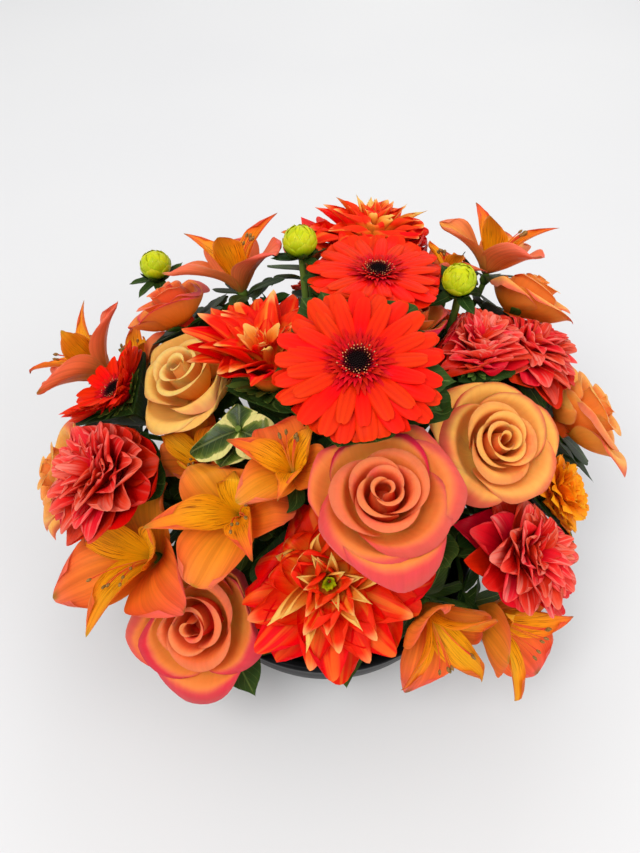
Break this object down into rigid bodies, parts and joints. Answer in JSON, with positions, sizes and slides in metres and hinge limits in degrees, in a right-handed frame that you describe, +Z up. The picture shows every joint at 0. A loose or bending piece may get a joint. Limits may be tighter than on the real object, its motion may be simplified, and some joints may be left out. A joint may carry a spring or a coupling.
{
  "type": "floral table centerpiece",
  "caption": "Low round table centerpiece of roses, gerberas, dahlias, double blooms and alstroemeria, with their stems set in floral foam in a shallow dark bowl.",
  "frame": {"origin": "middle of the bowl's flat foot, on the surface that the bowl stands on", "axes": "+Z up, +Y from the side that the picture shows towards the far side, +X to the right as seen from that side"},
  "size_m": [0.3231, 0.2579, 0.2122],
  "materials": {
    "bowl": "black moulded plastic with a soft gloss",
    "foam": "dark green wet floral foam, finely porous and matt",
    "greenery": "waxy green stems and leaves",
    "rose_coral": "soft coral petals with magenta pink edges",
    "rose_peach": "soft peach orange petals, yellower inside",
    "rose_cream": "pale yellow peach petals",
    "gerbera": "satin red orange ray petals",
    "gerbera_eye": "near black disc with fine pollen",
    "dahlia": "red petals with yellow bases and tips",
    "double": "deep red outer petals, coral pink inside",
    "marigold": "ruffled bright orange petals",
    "alstroemeria": "orange and yellow tepals with dark streaks",
    "bud": "yellow green closed bud",
    "variegated": "green leaves with cream edges"
  },
  "bodies": {
    "root": {"bowl": "bowl", "floral_foam": "foam", "rose_front_petals": "rose_coral", "rose_front_stem": "greenery", "rose_right_petals": "rose_peach", "rose_right_stem": "greenery", "rose_left_petals": "rose_cream", "rose_left_stem": "greenery", "rose_low_left_petals": "rose_coral", "rose_low_left_stem": "greenery", "rose_far_right_petals": "rose_peach", "rose_far_right_stem": "greenery", "rose_far_left_petals": "rose_peach", "rose_far_left_stem": "greenery", "rose_back_right": "rose_peach", "rose_back_left": "rose_coral", "rose_middle": "rose_coral", "rose_rear_left": "rose_peach", "rose_rear_right": "rose_coral", "gerbera_top_petals": "gerbera", "gerbera_top_eye": "gerbera_eye", "gerbera_top_stem": "greenery", "gerbera_back_petals": "gerbera", "gerbera_back_eye": "gerbera_eye", "gerbera_back_stem": "greenery", "gerbera_left_petals": "gerbera", "gerbera_left_eye": "gerbera_eye", "gerbera_left_stem": "greenery", "gerbera_rear": "gerbera", "gerbera_rear_eye": "gerbera_eye", "dahlia_front_petals": "dahlia", "dahlia_front_stem": "greenery", "dahlia_back_petals": "dahlia", "dahlia_back_stem": "greenery", "dahlia_left_petals": "dahlia", "dahlia_left_stem": "greenery", "double_left_petals": "double", "double_left_stem": "greenery", "double_low_right_petals": "double", "double_low_right_stem": "greenery", "double_right_petals": "double", "double_right_stem": "greenery", "double_middle": "double", "double_rear": "double", "marigold_right": "marigold", "spray_left": "alstroemeria", "spray_front_left": "alstroemeria", "spray_centre": "alstroemeria", "spray_back_left": "alstroemeria", "spray_back_right": "alstroemeria", "spray_front_right": "alstroemeria", "spray_rear": "alstroemeria", "bud_left_head": "bud", "bud_left_stem": "greenery", "bud_back_head": "bud", "bud_back_stem": "greenery", "bud_middle_head": "bud", "bud_middle_stem": "greenery", "variegated_sprig": "variegated"}
  },
  "joints": []
}
